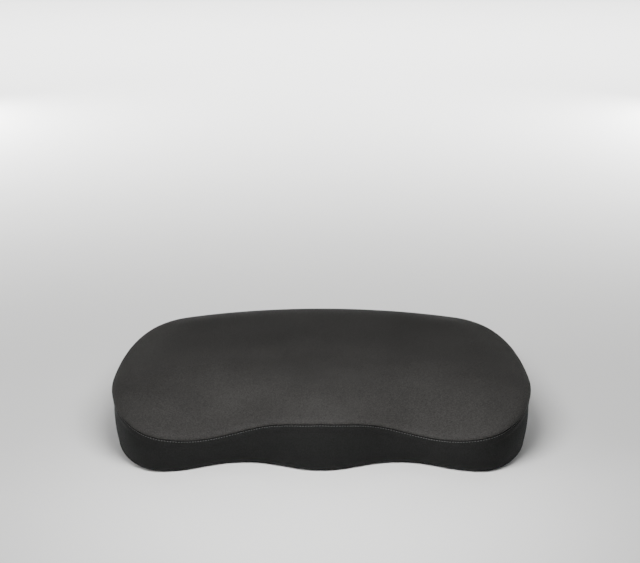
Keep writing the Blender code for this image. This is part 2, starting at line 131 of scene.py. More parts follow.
COLUMN_PITCH = 0.0018
FABRIC = 0.0008
SEAT_ROWS = 46
ROLL_INSET = 0.028  # where the top panel starts to roll over to its seam
ROLL_HANDLE = 0.60
EDGE_HANDLE = 0.0060
OVERHANG = 0.0005
SIDE_OVERHANG = 0.0008
ROLL_LOW = 0.0008
CREASE_INSET = 0.0009
CREASE_DEPTH = 0.0004
TUCK = 0.0016
RIDGE_DROP = 0.0012
SIDE_TUCK_IN = 0.0018
ALLOWANCE = 0.0070
ALLOWANCE_RISE = 0.0006
LIP = 0.0030
BASE_HEIGHT = 0.00045

STITCH_PITCH = 0.0030
THREAD_RADIUS = 0.00020
SEAM_THREAD_RADIUS = 0.00024
SEAM_THREAD_OUT = 0.00045
SEAM_THREAD_DROP = 0.0012  # below the crease
BASE_THREAD_HEIGHT = 0.00035

# ---- outline and seat form


def ease(value):
    """0 to 1 with no corner at either end."""
    value = np.clip(value, 0.0, 1.0)
    return value * value * (3 - 2 * value)


def on_rear_arc(angle, inset=0.0):
    """Plan points on the rear arc, at angles from the centre line towards +X."""
    radius = REAR_ARC_RADIUS - np.asarray(inset)
    return np.stack(
        np.broadcast_arrays(radius * np.sin(angle), ARC_CENTRE_Y + radius * np.cos(angle)), -1
    )


def quarter_turn(count):
    """The cosine and the sine of angles at even steps over a quarter turn."""
    angles = np.linspace(0, math.pi / 2, count)
    return list(zip(np.cos(angles), np.sin(angles)))


def unit(vectors):
    return vectors / np.linalg.norm(vectors, axis=-1, keepdims=True)


def lengths_along(points):
    """How far each point lies from the first, along the line through them."""
    steps = np.linalg.norm(np.diff(points, axis=0), axis=1)
    return np.concatenate([[0], np.cumsum(steps)])


def evenly(points, count):
    """count + 1 points at equal steps along a line through many."""
    lengths = lengths_along(points)
    at = np.linspace(0, lengths[-1], count + 1)
    return np.stack([np.interp(at, lengths, points[:, k]) for k in range(points.shape[1])], -1)


def front_half():
    """The right side of the outline, from the front centre to the end of the rear arc."""
    front_y = -DEPTH / 2
    pommel = Vector((0.0, front_y + POMMEL_SETBACK, 0.0))
    channel = Vector((CHANNEL_X, front_y + CHANNEL_SETBACK, 0.0))
    lobe = Vector((WIDTH / 2 - LOBE_FROM_SIDE, front_y, 0.0))
    side = Vector((WIDTH / 2, WIDEST_Y, 0.0))
    corner = Vector((*on_rear_arc(ARC_HALF_ANGLE), 0.0))
    along_arc = Vector((math.cos(ARC_HALF_ANGLE), -math.sin(ARC_HALF_ANGLE), 0.0))
    across, back = Vector((1.0, 0.0, 0.0)), Vector((0.0, 1.0, 0.0))
    spans = (
        (pommel, pommel + across * POMMEL_HANDLE, channel - across * CHANNEL_HANDLE, channel),
        (channel, channel + across * CHANNEL_HANDLE, lobe - across * LOBE_INNER_HANDLE, lobe),
        (lobe, lobe + across * LOBE_OUTER_HANDLE, side - back * SIDE_FRONT_HANDLE, side),
        (side, side + back * SIDE_REAR_HANDLE, corner + along_arc * CORNER_HANDLE, corner),
    )
    points = []
    for span in spans:
        points += interpolate_bezier(*span, 400)[:-1]
    return np.array([point[:2] for point in points + [corner]])


class Outline:
    """The closed plan outline, anticlockwise from the front centre, in even columns.

    slack is 0 on the rear arc, which the zip keeps in shape, and 1 away from it. foot is how far
    the band's lower edge stands inside the outline.
    """

    def __init__(self, pitch):
        front = front_half()
        front_count = round(lengths_along(front)[-1] / pitch)
        arc_count = round(REAR_ARC_RADIUS * ARC_HALF_ANGLE / pitch)
        angles = np.linspace(ARC_HALF_ANGLE, 0, arc_count + 1)
        half = np.concatenate([evenly(front, front_count)[:-1], on_rear_arc(angles)])
        left = half[-2:0:-1] * (-1, 1)
        self.points = np.concatenate([half, left])
        self.count = len(self.points)
        self.arc_first = front_count
        self.arc_last = front_count + 2 * arc_count
        ahead = np.roll(self.points, -1, axis=0) - np.roll(self.points, 1, axis=0)
        inward = unit(np.stack([-ahead[:, 1], ahead[:, 0]], -1))
        arc = slice(self.arc_first, self.arc_last + 1)
        inward[arc] = unit((0, ARC_CENTRE_Y) - self.points[arc])
        self.inward = inward
        columns = np.arange(self.count)
        past = np.maximum(self.arc_first - columns, columns - self.arc_last)
        self.slack = ease(np.maximum(past, 0) * pitch / SLACK_REACH)
        self.sideways = np.abs(inward[:, 0]) ** 2 * self.slack
        self.foot = self.slack * BAND_LEAN + SIDE_TUCK_IN * self.sideways
        self.seam = seat_height(self.points, 0.0)

    def at(self, move, height, columns=None):
        """A row of points moved inwards from the outline, at a height."""
        columns = np.arange(self.count) if columns is None else columns
        plan = self.points[columns] + self.inward[columns] * np.reshape(move, (-1, 1))
        return np.column_stack([plan, np.broadcast_to(height, len(plan))])


FINE_EDGE = front_half()[::8]
FINE_EDGE = np.concatenate(
    [FINE_EDGE, on_rear_arc(np.linspace(ARC_HALF_ANGLE, -ARC_HALF_ANGLE, 160))]
    + [FINE_EDGE[::-1] * (-1, 1)]
)


def edge_distance(plan):
    """How far plan points inside the outline lie from its nearest edge."""
    starts = FINE_EDGE[:-1]
    runs = np.diff(FINE_EDGE, axis=0)
    lengths = np.maximum((runs**2).sum(1), 1e-16)
    nearest = []
    for block in np.array_split(plan, max(len(plan) // 4000, 1)):
        gap = block[:, None] - starts
        share = np.clip((gap * runs).sum(2) / lengths, 0, 1)
        nearest.append(np.linalg.norm(gap - runs * share[..., None], axis=2).min(1))
    return np.concatenate(nearest)


def seat_height(plan, distance=None):
    """Height of the seat over plan points."""
    x, y = plan[:, 0], plan[:, 1]
    distance = edge_distance(plan) if distance is None else distance
    from_front = y + DEPTH / 2
    edge = np.maximum(1 - distance / EDGE_REACH, 0)
    roll = np.maximum(1 - from_front / ROLL_REACH, 0)
    outward = ease((np.abs(x) - ROLL_STARTS_X) / (ROLL_FULL_X - ROLL_STARTS_X))
    roll_drop = POMMEL_ROLL + (LOBE_ROLL - POMMEL_ROLL) * outward
    channel = ease(1 - from_front / CHANNEL_REACH)
    channel = channel * np.exp(-(((np.abs(x) - CHANNEL_DEEPEST_X) / CHANNEL_HALF_WIDTH) ** 2))
    low_edge = EDGE_DROP * edge**EDGE_POWER + roll_drop * roll**2
    return SEAT_HEIGHT - low_edge - CHANNEL_DEPTH * channel


def wall_inset(outline, height, columns):
    """How far inside the outline the band's outer face stands at a height."""
    foot = BOTTOM_ROUNDING
    share = np.clip((height - foot) / (outline.seam[columns] - foot), 0, 1)
    lean = BAND_LEAN * (1 - share) - BAND_BULGE * np.sin(np.pi * share)
    tuck_in = SIDE_TUCK_IN * outline.sideways[columns] * ease((1 - share) * 4)
    return outline.slack[columns] * lean + tuck_in


OUTLINE = Outline(COLUMN_PITCH)
SIDES = {"upper": 1, "lower": -1}  # of the zip
ALL = np.arange(OUTLINE.count)
REAR = np.arange(OUTLINE.arc_first, OUTLINE.arc_last + 1)
FRONT = np.arange(OUTLINE.arc_last, OUTLINE.arc_first + OUTLINE.count + 1) % OUTLINE.count

# ---- meshes


def mesh_from(name, points, faces):
    """A mesh from arrays of points and of equal-sided faces."""
    mesh = bpy.data.meshes.new(name)
    sides = faces.shape[1]
    mesh.vertices.add(len(points))
    mesh.vertices.foreach_set("co", np.asarray(points, np.float32).ravel())
    mesh.loops.add(faces.size)
    mesh.loops.foreach_set("vertex_index", faces.astype(np.int32).ravel())
    mesh.polygons.add(len(faces))
    mesh.polygons.foreach_set("loop_start", np.arange(0, faces.size, sides, dtype=np.int32))
    mesh.update(calc_edges=True)
    mesh.validate()
    mesh.shade_smooth()
    return mesh


def grid_faces(rows, columns, around):
    index = np.arange(rows * columns).reshape(rows, columns)
    here, after = (index, np.roll(index, -1, 1)) if around else (index[:, :-1], index[:, 1:])
    return np.stack([here[:-1], after[:-1], after[1:], here[1:]], -1).reshape(-1, 4)


def add_weave(mesh, weave):
    """Stores where each point lies on the cloth, in metres along and across its knit."""
    flat = np.zeros((len(mesh.vertices), 3), np.float32)
    flat[:, :2] = weave
    attribute = mesh.attributes.new("weave", "FLOAT_VECTOR", "POINT")
    attribute.data.foreach_set("vector", flat.ravel())


def new_object(name, data):
    made = bpy.data.objects.new(name, data)
    bpy.context.scene.collection.objects.link(made)
    return made


def add_piece(name, mesh, surface, thickness=0.0):
    """A named piece in the scene, with its material and an optional thickness."""
    mesh.materials.clear()
    mesh.materials.append(surface)
    piece = new_object(name, mesh)
    if thickness:
        wall = piece.modifiers.new("thickness", "SOLIDIFY")
        wall.thickness = thickness
        wall.offset = -1.0
        wall.use_rim = True
    return piece


def cloth_piece(name, rows, surface, around=False, weave=None, thickness=FABRIC):
    """A sheet of cloth through rows of points. It can end in one row of equal points."""
    rows = np.array(rows)
    count, columns = rows.shape[:2]
    points = rows.reshape(-1, 3)
    mesh = mesh_from(name, points, grid_faces(count, columns, around))
    add_weave(mesh, points[:, :2] if weave is None else weave.reshape(-1, 2))
    return add_piece(name, mesh, surface, thickness)


def along_and_up(rows, along):
    """Weave places for a strip: along its length, and up its profile."""
    rows = np.array(rows)
    steps = np.linalg.norm(np.diff(rows, axis=0), axis=2)
    up = np.concatenate([np.zeros((1, rows.shape[1])), np.cumsum(steps, axis=0)])
    return np.stack([np.broadcast_to(along, up.shape), up], -1)


def weld(mesh):
    """Joins points in the same place."""
    shape = bmesh.new()
    shape.from_mesh(mesh)
    bmesh.ops.remove_doubles(shape, verts=shape.verts, dist=1e-6)
    bmesh.ops.dissolve_degenerate(shape, dist=1e-7, edges=shape.edges)
    bmesh.ops.recalc_face_normals(shape, faces=shape.faces)
    shape.to_mesh(mesh)
    shape.free()


def rings_round(line, first, second, sides):
    """A ring round each point of a line, in the plane of two directions as long as its radius."""
    turn = np.arange(sides)[:, None] * 2 * math.pi / sides
    around = np.cos(turn) * first[..., None, :] + np.sin(turn) * second[..., None, :]
    return line[..., None, :] + around


def capped(rings, line):
    """Rings along a line, closed to a point at both ends."""
    first, last = (np.repeat(line[[end], None], rings.shape[1], 1) for end in (0, -1))
    return np.concatenate([first, rings, last])


def ring_mesh(name, rings, weave=None):
    """A closed mesh through rings of points."""
    mesh = mesh_from(name, rings.reshape(-1, 3), grid_faces(*rings.shape[:2], True))
    if weave is not None:
        add_weave(mesh, weave.reshape(-1, 2))
    weld(mesh)
    return mesh


def copies_mesh(name, copies):
    """One mesh from many equal closed shapes, each given as rings of points."""
    count, rings, sides = copies.shape[:3]
    starts = np.arange(count)[:, None, None] * rings * sides
    faces = (starts + grid_faces(rings, sides, True)).reshape(-1, 4)
    mesh = mesh_from(name, copies.reshape(-1, 3), faces)
    weld(mesh)
    return mesh


def rounded(corners, radius, steps):
    """An outline round four corners, each rounded, from the one where both numbers are high."""
    points = []
    for quarter, (first, second) in enumerate(corners):
        to_first = -1 if quarter in (0, 3) else 1
        to_second = -1 if quarter in (0, 1) else 1
        for step in range(steps + 1):
            angle = (quarter + step / steps) * math.pi / 2
            move = to_first + math.cos(angle), to_second + math.sin(angle)
            points.append((first + radius * move[0], second + radius * move[1]))
    return np.array(points)


# ---- profile rows


def top_rows(outline, shift):
    """The top panel, from inside its seam, over the edge roll, to the centre."""
    seam = outline.seam
    overhang = OVERHANG + SIDE_OVERHANG * outline.sideways
    crease = seam - CREASE_DEPTH
    rows = [outline.at(CREASE_INSET + TUCK, crease - 0.1 * MM)]
    for cosine, sine in quarter_turn(6)[::-1]:
        move = -overhang + (CREASE_INSET + overhang) * (1 - cosine)
        height = seam + ROLL_LOW - (ROLL_LOW + CREASE_DEPTH) * sine
        rows.append(outline.at(move, height))
    step = 1 * MM
    inner = outline.at(ROLL_INSET, 0.0)
    start_height = seat_height(inner[:, :2], ROLL_INSET)
    before = outline.at(ROLL_INSET + step, 0.0)
    slope = (seat_height(before[:, :2], ROLL_INSET + step) - start_height) / step
    reach = (ROLL_INSET + overhang) * ROLL_HANDLE
    moves = (-overhang, -overhang, ROLL_INSET - reach, ROLL_INSET)
    low = seam + ROLL_LOW
    heights = (low, low + EDGE_HANDLE, start_height - slope * reach, start_height)
    for t in np.linspace(0, 1, 15)[1:]:
        parts = ((1 - t) ** 3, 3 * t * (1 - t) ** 2, 3 * t * t * (1 - t), t**3)
        move = sum(part * spot for part, spot in zip(parts, moves))
        height = sum(part * spot for part, spot in zip(parts, heights))
        rows.append(outline.at(move, height))
    for share in np.linspace(1, 0, SEAT_ROWS)[1:-1]:
        plan = inner[:, :2] * share
        rows.append(np.column_stack([plan, seat_height(plan)]))
    centre = np.zeros((1, 2))
    rows.append(np.tile([0, 0, seat_height(centre)[0]], (outline.count, 1)))
    return np.array([shift(row) for row in rows])


def band_rows(outline, columns, low=None, high=None, wall_steps=26):
    """A band strip, from low up to high. None means the base seam, and the top seam."""
    seam = outline.seam[columns]
    rows = []
    start = low
    if low is None:
        foot = outline.foot[columns]
        rows.append(outline.at(foot + BOTTOM_ROUNDING + LIP, 0.6 * MM, columns))
        rows.append(outline.at(foot + BOTTOM_ROUNDING + LIP * 0.8, 0.2 * MM, columns))
        for cosine, sine in quarter_turn(9)[:-1]:
            move = foot + BOTTOM_ROUNDING * (1 - sine)
            height = BOTTOM_ROUNDING * (1 - cosine) + 0.05 * MM
            rows.append(outline.at(move, height, columns))
        start = BOTTOM_ROUNDING
    end = seam - CREASE_DEPTH - RIDGE_DROP * 2 if high is None else high
    for share in np.linspace(0, 1, wall_steps):
        height = start + (end - start) * share
        inset = wall_inset(outline, height, columns)
        under = (seam - height) / ALLOWANCE
        inset = inset - ALLOWANCE_RISE * ease((1.25 - under) * 4) * (high is None)
        rows.append(outline.at(inset, height, columns))
    if high is None:
        top_inset = wall_inset(outline, end, columns) - ALLOWANCE_RISE
        crease = seam - CREASE_DEPTH
        for cosine, sine in quarter_turn(6)[1:]:
            move = top_inset + (CREASE_INSET - top_inset) * (1 - cosine)
            height = end + (crease - 0.15 * MM - end) * sine
            rows.append(outline.at(move, height, columns))
        rows.append(outline.at(CREASE_INSET + TUCK, crease - 0.3 * MM, columns))
    return rows


# ---- fullness, by cloth simulation

VOXEL = 0.005
SIM_FRAMES = 20
SIM_PRESSURE = 4.0
FOAM_HOLD = 0.10
SLACK_CLOTH = -0.004
MOST_SWELL = 0.0022
NEIGHBOURS = 36
STILL_BAND = 0.004  # from the rear arc inwards
STILL_FADE = 0.020


def closed_skin():
    """The cover's whole outer skin as one closed mesh, slightly small, for the simulation."""
    coarse = Outline(0.006)
    columns = np.arange(coarse.count)
    edge = coarse.at(coarse.slack * BAND_LEAN + BOTTOM_ROUNDING, 0.0)
    rows = [edge * (share, share, 1) for share in (0, 0.25, 0.5, 0.75, 0.9)]
    rows += band_rows(coarse, columns, wall_steps=10)[2:-1]
    rows += list(top_rows(coarse, lambda row: row))[2:]
    rows = np.array(rows)
    mesh = mesh_from("skin", rows.reshape(-1, 3), grid_faces(len(rows), coarse.count, True))
    skin = new_object("skin", mesh)
    remesh = skin.modifiers.new("voxels", "REMESH")
    remesh.mode = "VOXEL"
    remesh.voxel_size = VOXEL
    shrunk = skin.modifiers.new("smaller", "DISPLACE")
    shrunk.strength = -0.5 * MM
    shrunk.mid_level = 0.0
    graph = bpy.context.evaluated_depsgraph_get()
    remeshed = bpy.data.meshes.new_from_object(skin.evaluated_get(graph))
    bpy.data.objects.remove(skin)
    return remeshed


def coordinates(mesh):
    flat = np.empty(len(mesh.vertices) * 3)
    mesh.vertices.foreach_get("co", flat)
    return flat.reshape(-1, 3)


def search_tree(points):
    tree = KDTree(len(points))
    for index, point in enumerate(points):
        tree.insert(point, index)
    tree.balance()
    return tree


def simulate_cover():
    """Rest places on the skin, and how far slack cloth on soft foam moves there."""
    mesh = closed_skin()
    rest = coordinates(mesh)
    skin = new_object("skin_cloth", mesh)
    near_seam = search_tree(OUTLINE.at(0.0, OUTLINE.seam))
    hold = skin.vertex_groups.new(name="hold")
    for index, point in enumerate(rest):
        sewn = near_seam.find(point)[2] < VOXEL or point[2] < BOTTOM_ROUNDING / 2
        hold.add([index], 1.0 if sewn else FOAM_HOLD, "REPLACE")
    cloth = skin.modifiers.new("cloth", "CLOTH")
    settings = cloth.settings
    settings.vertex_group_mass = "hold"
    settings.pin_stiffness = 1.0
    settings.use_pressure = True
    settings.uniform_pressure_force = SIM_PRESSURE
    settings.shrink_min = SLACK_CLOTH
    settings.effector_weights.gravity = 0.0
    cloth.point_cache.frame_start = 1
    cloth.point_cache.frame_end = SIM_FRAMES
    for number in range(1, SIM_FRAMES + 1):
        bpy.context.scene.frame_set(number)
    graph = bpy.context.evaluated_depsgraph_get()
    settled = coordinates(skin.evaluated_get(graph).data)
    bpy.data.objects.remove(skin)
    bpy.context.scene.frame_set(1)
    return rest, settled - rest


def cover_shift():
    """A function that moves a row of cover points as the simulated cloth moved."""
    rest, moved = simulate_cover()
    size = np.linalg.norm(moved, axis=1)
    moved = moved * np.minimum(1, MOST_SWELL / np.maximum(size, 1e-9))[:, None]
    tree = search_tree(rest)

    def shift(row):
        out = np.array(row, float)
        for index, point in enumerate(row):
            found = tree.find_n(point, NEIGHBOURS)
            weights = np.array([1 / (2 * VOXEL + distance) ** 2 for _, _, distance in found])
            step = (moved[[spot for _, spot, _ in found]] * weights[:, None]).sum(0)
            out[index] += step / weights.sum() * still_at_zip(point)
        return out

    return shift


def still_at_zip(point):
    """0 on the rear band, where the zip keeps the cloth straight, and 1 away from it."""
    from_arc = abs(math.hypot(point[0], point[1] - ARC_CENTRE_Y) - REAR_ARC_RADIUS)
    past_end = (abs(point[0]) - REAR_ARC_HALF_WIDTH) / SLACK_REACH
    return float(ease(max(past_end, (from_arc - STILL_BAND) / STILL_FADE)))


# ---- materials

# A Mix node's colour sockets share their names with its number sockets.
MIX_DARK, MIX_LIGHT, MIX_RESULT = 6, 7, 2


class Nodes:
    """A material's node tree, with short ways to add and link nodes."""

    def __init__(self, name, colour, roughness, **sockets):
        self.material = bpy.data.materials.new(name)
        self.material.use_nodes = True
        self.tree = self.material.node_tree
        self.shader = self.tree.nodes["Principled BSDF"]
        self.shader.inputs["Base Color"].default_value = (*colour, 1.0)
        self.shader.inputs["Roughness"].default_value = roughness
        for socket, value in sockets.items():
            self.shader.inputs[socket.replace("_", " ")].default_value = value

    def add(self, kind, links=(), **settings):
        node = self.tree.nodes.new("ShaderNode" + kind)
        for setting, value in settings.items():
            if hasattr(node, setting):
                setattr(node, setting, value)
            else:
                node.inputs[setting.replace("_", " ")].default_value = value
        for socket, source in dict(links).items():
            self.tree.links.new(source, node.inputs[socket])
        return node

    def math(self, operation, first, second=0.0):
        node = self.add("Math", operation=operation)
        for socket, value in zip(node.inputs, (first, second)):
            if isinstance(value, (int, float)):
                socket.default_value = value
            else:
                self.tree.links.new(value, socket)
        return node.outputs[0]

    def plus(self, first, second, share=1.0):
        """The first number, and a share of the second."""
        return self.math("ADD", first, self.math("MULTIPLY", second, share))

    def wave(self, value, scale):
        """The sine of a number times a scale."""
        return self.math("SINE", self.math("MULTIPLY", value, scale))

    def object_place(self):
        return self.add("TexCoord").outputs["Object"]

    def weave_place(self):
        """How far a point lies along the cloth, and across it."""
        weave = self.add("Attribute", attribute_name="weave").outputs["Vector"]
        split = self.add("SeparateXYZ", {"Vector": weave})
        return split.outputs["X"], split.outputs["Y"]

    def noise(self, place, scale, detail=3.0, roughness=0.5):
        node = self.add("TexNoise", {"Vector": place}, Scale=scale, Detail=detail)
        node.inputs["Roughness"].default_value = roughness
        return node.outputs["Fac"]

    def ramp(self, value, low, high, start=0.0, stop=1.0):
        """A number that goes from low to high as the value goes from start to stop."""
        node = self.add(
            "MapRange", {"Value": value}, From_Min=start, From_Max=stop, To_Min=low, To_Max=high
        )
        return node.outputs["Result"]

    def tint(self, value, dark, light):
        node = self.add("Mix", data_type="RGBA")
        node.inputs[MIX_DARK].default_value = (*dark, 1.0)
        node.inputs[MIX_LIGHT].default_value = (*light, 1.0)
        self.tree.links.new(value, node.inputs["Factor"])
        self.tree.links.new(node.outputs[MIX_RESULT], self.shader.inputs["Base Color"])

    def rough(self, value):
        self.tree.links.new(value, self.shader.inputs["Roughness"])

    def bump(self, height, strength, distance, under=None):
        links = {"Height": height}
        if under is not None:
            links["Normal"] = under
        node = self.add("Bump", links, Strength=strength, Distance=distance)
        self.tree.links.new(node.outputs["Normal"], self.shader.inputs["Normal"])
        return node.outputs["Normal"]


def knit(name, dark, light, roughness, specular, wale=1.05, course=0.80, sheen=0.0):
    """Fine jersey: columns of V stitches, heathered, with a nap. wale and course in millimetres."""
    nodes = Nodes(
        name, light, roughness, Sheen_Weight=sheen, Sheen_Roughness=0.45, Specular_IOR_Level=specular
    )
    place = nodes.object_place()
    wales, courses = nodes.weave_place()
    across = nodes.plus(nodes.math("MULTIPLY", wales, 1000 / wale), nodes.noise(place, 45, 2), 0.6)
    offset = nodes.math("ABSOLUTE", nodes.math("SUBTRACT", nodes.math("FRACT", across), 0.5))
    along = nodes.plus(nodes.math("MULTIPLY", courses, 1000 / course), offset, 1.1)
    loops = nodes.wave(along, 2 * math.pi)
    ribs = nodes.wave(offset, 2 * math.pi)
    height = nodes.plus(nodes.math("MULTIPLY", loops, 0.25), ribs, 0.6)
    fibres = nodes.noise(place, 1500, 4, 0.7)
    heather = nodes.noise(place, 780, 2, 0.6)
    patches = nodes.noise(place, 14, 4)
    shade = nodes.plus(nodes.math("MULTIPLY", heather, 0.75), patches, 0.25)
    shade = nodes.plus(shade, height, 0.12)
    nodes.tint(nodes.ramp(shade, 0, 1, 0.30, 0.70), dark, light)
    nodes.rough(nodes.ramp(patches, roughness - 0.05, roughness + 0.05, 0.3, 0.7))
    nap = nodes.bump(nodes.plus(fibres, heather, 1.5), 0.5, 0.15 * MM)
    nodes.bump(height, 0.55, 0.12 * MM, nap)
    return nodes.material


def foam(name, dark, light, pore):
    """Open-cell foam: round pores of two sizes. pore in millimetres."""
    nodes = Nodes(name, light, 0.95)
    place = nodes.object_place()
    pores = nodes.add("TexVoronoi", {"Vector": place}, Scale=1000 / pore).outputs["Distance"]
    small = nodes.add("TexVoronoi", {"Vector": place}, Scale=2600 / pore).outputs["Distance"]
    depth = nodes.plus(pores, small, 0.4)
    nodes.tint(nodes.ramp(depth, 1, 0, 0.2, 1.0), light, dark)
    nodes.bump(depth, 0.6, 0.4 * MM)
    return nodes.material


def woven(name, dark, light, thread, roughness=0.85):
    """Narrow twill tape: slanted ribs of thread. thread in millimetres."""
    nodes = Nodes(name, light, roughness, Sheen_Weight=0.15)
    along, across = nodes.weave_place()
    slant = nodes.math("ADD", along, nodes.math("ABSOLUTE", across))
    waves = 2000 * math.pi / thread
    height = nodes.plus(nodes.wave(slant, waves), nodes.wave(across, waves), 0.5)
    shade = nodes.plus(nodes.noise(nodes.object_place(), 900, 3), height, 0.15)
    nodes.tint(nodes.ramp(shade, 0, 1, 0.25, 0.8), dark, light)
    nodes.bump(height, 0.5, 0.1 * MM)
    return nodes.material


def smooth_solid(name, dark, light, roughness, metallic=0.0):
    """Moulded or metal pieces: faint mottling, rubbed edges and fine grain."""
    nodes = Nodes(name, light, roughness, Metallic=metallic)
    place = nodes.object_place()
    mottle = nodes.noise(place, 300, 4)
    edges = nodes.add("NewGeometry").outputs["Pointiness"]
    worn = nodes.plus(nodes.ramp(edges, 0, 0.8, 0.5, 0.62), mottle, 0.4)
    nodes.tint(nodes.ramp(worn, 0, 1, 0.1, 0.8), dark, light)
    nodes.rough(nodes.ramp(mottle, roughness - 0.08, roughness + 0.08, 0.3, 0.7))
    nodes.bump(nodes.noise(place, 1500, 3), 0.3, 0.02 * MM)
    return nodes.material


def thread_material(name, dark, light):
    """Spun thread: slanting twist."""
    nodes = Nodes(name, light, 0.6, Sheen_Weight=0.2)
    place = nodes.object_place()
    twist = nodes.add("TexWave", {"Vector": place}, Scale=900, Distortion=2.0)
    twist.bands_direction = "DIAGONAL"
    nodes.tint(twist.outputs["Fac"], dark, light)
    nodes.bump(twist.outputs["Fac"], 0.5, 0.05 * MM)
    return nodes.material


TOP_KNIT = knit("top_knit", (0.0090, 0.0086, 0.0082), (0.0360, 0.0348, 0.0332), 0.75, 0.12)
# The band and zip strips use the top's own knit with its colour painted about three times darker:
# painted shade for the upright band faces, which the light from above leaves dim.
BAND_KNIT_PAINTED_SHADE = knit("band_knit_painted_shade", (0.0044, 0.0046, 0.0044), (0.0118, 0.0121, 0.0118), 0.75, 0.10)
GRIP_FABRIC = knit(
    "grip_fabric", (0.005, 0.0055, 0.006), (0.010, 0.0105, 0.011), 0.80, 0.15, 1.4, 1.1
)
LINER_KNIT = knit("liner_knit", (0.62, 0.60, 0.56), (0.80, 0.79, 0.75), 0.85, 0.3, 1.6, 1.2, 0.10)
MEMORY = foam("memory_foam", (0.62, 0.55, 0.36), (0.83, 0.78, 0.60), 0.9)
SUPPORT = foam("support_foam", (0.25, 0.27, 0.31), (0.40, 0.42, 0.46), 1.6)
TAPE = woven("zip_tape", (0.012, 0.012, 0.013), (0.030, 0.030, 0.031), 0.7)
SATIN = woven("label_satin", (0.68, 0.68, 0.66), (0.86, 0.86, 0.84), 0.3, 0.45)
NYLON = smooth_solid("zip_nylon", (0.008, 0.008, 0.009), (0.022, 0.022, 0.024), 0.60)
METAL = smooth_solid("zip_metal", (0.035, 0.035, 0.037), (0.30, 0.30, 0.31), 0.34, 0.85)
RUBBER = smooth_solid("grip_rubber", (0.016, 0.016, 0.017), (0.050, 0.050, 0.052), 0.55)
THREAD = thread_material("seam_thread", (0.024, 0.0235, 0.023), (0.050, 0.049, 0.047))
ZIP_THREAD = thread_material("zip_thread", (0.020, 0.020, 0.020), (0.050, 0.050, 0.050))

# ---- how pieces move


def gives(piece, slot, *nodes):
    """A soft piece with its place baked into its mesh, and the CAD parts it replaces hidden."""
    if nodes:
        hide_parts(*nodes)
    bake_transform(piece)


def rides(piece, body, slot, *nodes):
    """A piece that keeps its shape and rides on one body."""
    if nodes:
        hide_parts(*nodes)
    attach(piece, body)


# ---- cover


def build_cover(shift):
    top = top_rows(OUTLINE, shift)
    cover = cloth_piece("top_cover", top, TOP_KNIT, around=True)
    gives(cover, "top_knit", "top_panel")

    rows = np.array([shift(row) for row in band_rows(OUTLINE, FRONT)])
    along = np.arange(len(FRONT)) * COLUMN_PITCH
    band = cloth_piece("side_band", rows, BAND_KNIT_PAINTED_SHADE, weave=along_and_up(rows, along))
    gives(band, "band_fabric", "front_band")


TOPSTITCH_AT = 0.0025  # from the fold at the zip
TOPSTITCH_DIP = 0.00025
TOPSTITCH_DIP_WIDTH = 0.0008
STRIP_END_GAP = 0.0006


def zip_strip(side):
    """A rear strip with its zip edge folded under and held down by the topstitching."""
    edge = ZIP_HEIGHT + side * (ZIP_SLOT / 2 + FABRIC)
    low, high = (edge, None) if side > 0 else (None, edge)
    rows = np.array(band_rows(OUTLINE, REAR, low, high, wall_steps=14))
    folded = []
    for angle in np.linspace(0, 0.75 * math.pi, 5)[1:]:
        inset = FABRIC * (1 - math.cos(angle))
        folded.append(OUTLINE.at(inset, edge - side * FABRIC * math.sin(angle), REAR))
    pull_in = 1 - STRIP_END_GAP / REAR_ARC_HALF_WIDTH
    rows = np.concatenate([folded[::-1], rows] if side > 0 else [rows, folded])
    from_line = np.abs(rows[..., 2] - edge) - TOPSTITCH_AT
    dip = TOPSTITCH_DIP * np.exp(-((from_line / TOPSTITCH_DIP_WIDTH) ** 2))
    radius = np.hypot(rows[..., 0], rows[..., 1] - ARC_CENTRE_Y) - dip
    angle = np.arctan2(rows[..., 0], rows[..., 1] - ARC_CENTRE_Y) * pull_in
    rows[..., 0] = radius * np.sin(angle)
    rows[..., 1] = ARC_CENTRE_Y + radius * np.cos(angle)
    return rows


def build_zip_bands():
    along = np.arange(len(REAR)) * COLUMN_PITCH
    upper, lower = (zip_strip(side) for side in SIDES.values())
    piece = cloth_piece("zip_band_upper", upper, BAND_KNIT_PAINTED_SHADE, weave=along_and_up(upper, along))
    gives(piece, "band_fabric", "rear_band_upper")
    piece = cloth_piece("zip_band_lower", lower, BAND_KNIT_PAINTED_SHADE, weave=along_and_up(lower, along))
    rides(piece, "root", "band_fabric", "rear_band_lower")


def build_base():
    edge = OUTLINE.at(OUTLINE.foot + BOTTOM_ROUNDING + LIP * 0.85, BASE_HEIGHT)
    rows = [edge * (share, share, 1) for share in np.linspace(0, 1, 30)]
    base = cloth_piece("grip_base", rows, GRIP_FABRIC, around=True)
    rides(base, "root", "grip_base", "base_panel")


DOT_PITCH = 0.011
DOT_RADIUS = 0.0017
DOT_SIDES = 8
DOT_MARGIN = 0.020
DOT_LEVELS = (  # share of the radius, and height
    (0.0, 0.0),
    (0.72, 0.0),
    (0.93, 0.14 * MM),
    (1.0, 0.36 * MM),
    (1.0, 0.6 * MM),
    (0.0, 0.6 * MM),
)
ROW_PITCH = DOT_PITCH * 0.866


